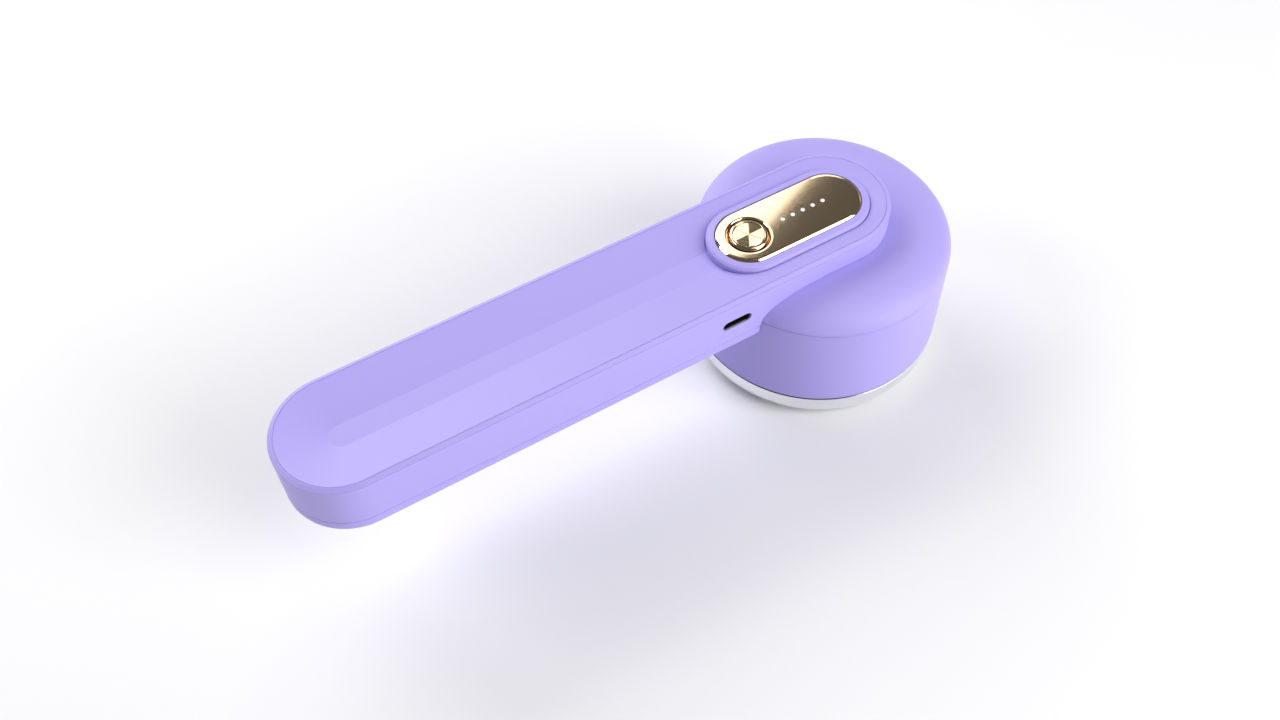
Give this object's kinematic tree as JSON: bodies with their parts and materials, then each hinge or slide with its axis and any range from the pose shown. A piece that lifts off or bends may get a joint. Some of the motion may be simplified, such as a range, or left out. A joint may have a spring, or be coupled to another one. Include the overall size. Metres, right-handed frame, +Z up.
{
  "type": "fabric shaver",
  "caption": "Rechargeable fabric shaver: pill-shaped handle with a power button and USB-C socket, round shaving head with lint drum, screw-off foil ring and spinning cutter.",
  "frame": {"origin": "centre of the foil's shaving face, on the head's axis", "axes": "+X along the handle from its tail towards the head, +Z up along the head's axis from the foil to the control panel, charging socket on the -Y side"},
  "size_m": [0.2062, 0.0764, 0.056],
  "materials": {
    "lavender_plastic": "fine satin texture",
    "polished_gold": "polished",
    "brushed_gold": "circular brushed",
    "amber_light_guide": "translucent gloss",
    "steel": "satin",
    "polished_steel": "mirror",
    "zinc": "zinc plated",
    "white_plastic": "moulded",
    "grey_plastic": "moulded",
    "black_plastic": "moulded",
    "seal_rubber": "moulded",
    "ferrite": "sintered",
    "circuit_board": "solder mask",
    "copper_winding": "enamelled wire",
    "battery_pouch": "foil pouch",
    "foam": "closed-cell foam",
    "red_wire": "insulated wire",
    "black_wire": "insulated wire"
  },
  "bodies": {
    "handle": {"top_cover": "lavender_plastic", "handle_shell": "lavender_plastic", "bottom_cover": "lavender_plastic", "control_bezel": "lavender_plastic", "gold_plate": "polished_gold", "light_ring": "amber_light_guide", "button_spring": "steel", "tact_switch": "zinc", "button_board": "circuit_board", "usb_socket": "steel", "usb_tongue": "black_plastic", "main_board": "circuit_board", "control_chip": "black_plastic", "smoothing_capacitor": "zinc", "battery_plug": "white_plastic", "motor_plug": "white_plastic", "ribbon_cable": "white_plastic", "battery": "battery_pouch", "battery_pad": "foam", "battery_lead_red": "red_wire", "battery_lead_black": "black_wire", "head_dome": "lavender_plastic", "motor_bulkhead": "white_plastic", "drum_seal": "seal_rubber", "bulkhead_screw_1": "steel", "bulkhead_screw_2": "steel", "bulkhead_screw_3": "steel", "neck_screw_1": "steel", "neck_screw_2": "steel", "neck_screw_3": "steel", "cover_screw_1": "steel", "cover_screw_2": "steel", "cover_screw_3": "steel", "cover_screw_4": "steel", "motor_screw_1": "steel", "motor_screw_2": "steel", "motor_can": "zinc", "motor_end_cap": "black_plastic", "motor_magnet_1": "ferrite", "motor_magnet_2": "ferrite", "motor_lead_red": "red_wire", "motor_lead_black": "black_wire"},
    "button": {"button_cap": "polished_gold", "button_inlay": "brushed_gold", "switch_plunger": "black_plastic"},
    "cutter": {"motor_shaft": "steel", "motor_armature": "copper_winding", "drive_coupler": "grey_plastic", "cutter_hub": "grey_plastic", "cutter_spring": "steel", "blade_1": "steel", "blade_2": "steel", "blade_3": "steel", "blade_4": "steel", "blade_5": "steel", "blade_6": "steel"},
    "drum": {"lint_drum": "lavender_plastic"},
    "foil_unit": {"foil": "steel", "foil_frame": "grey_plastic"},
    "ring": {"retaining_ring": "polished_steel"}
  },
  "joints": [
    {"name": "power_button_press", "type": "slide", "parent": "handle", "child": "button", "axis": [0, 0, -1], "range_m": [0, 0.0005], "stiffness_N_per_m": 800, "springref_m": -0.0005, "deforming": ["button_spring"]},
    {"name": "cutter_spin", "type": "hinge", "parent": "handle", "child": "cutter", "pos_m": [0, 0, 0.02], "axis": [0, 0, 1], "continuous": true},
    {"name": "drum_pull_off", "type": "slide", "parent": "drum", "child": "handle", "axis": [0, 0, 1], "range_m": [0, 0.042]},
    {"name": "foil_travel", "type": "slide", "parent": "drum", "child": "foil_unit", "axis": [0, 0, -1], "range_m": [0, 0.0041]},
    {"name": "ring_twist", "type": "hinge", "parent": "foil_unit", "child": "ring", "pos_m": [0, 0, 0.005], "axis": [0, 0, -1], "range_deg": [0, 60]}
  ],
  "couplings": [
    {"joint": "foil_travel", "follows": "ring_twist", "m_per_rad": 0.0038197}
  ]
}
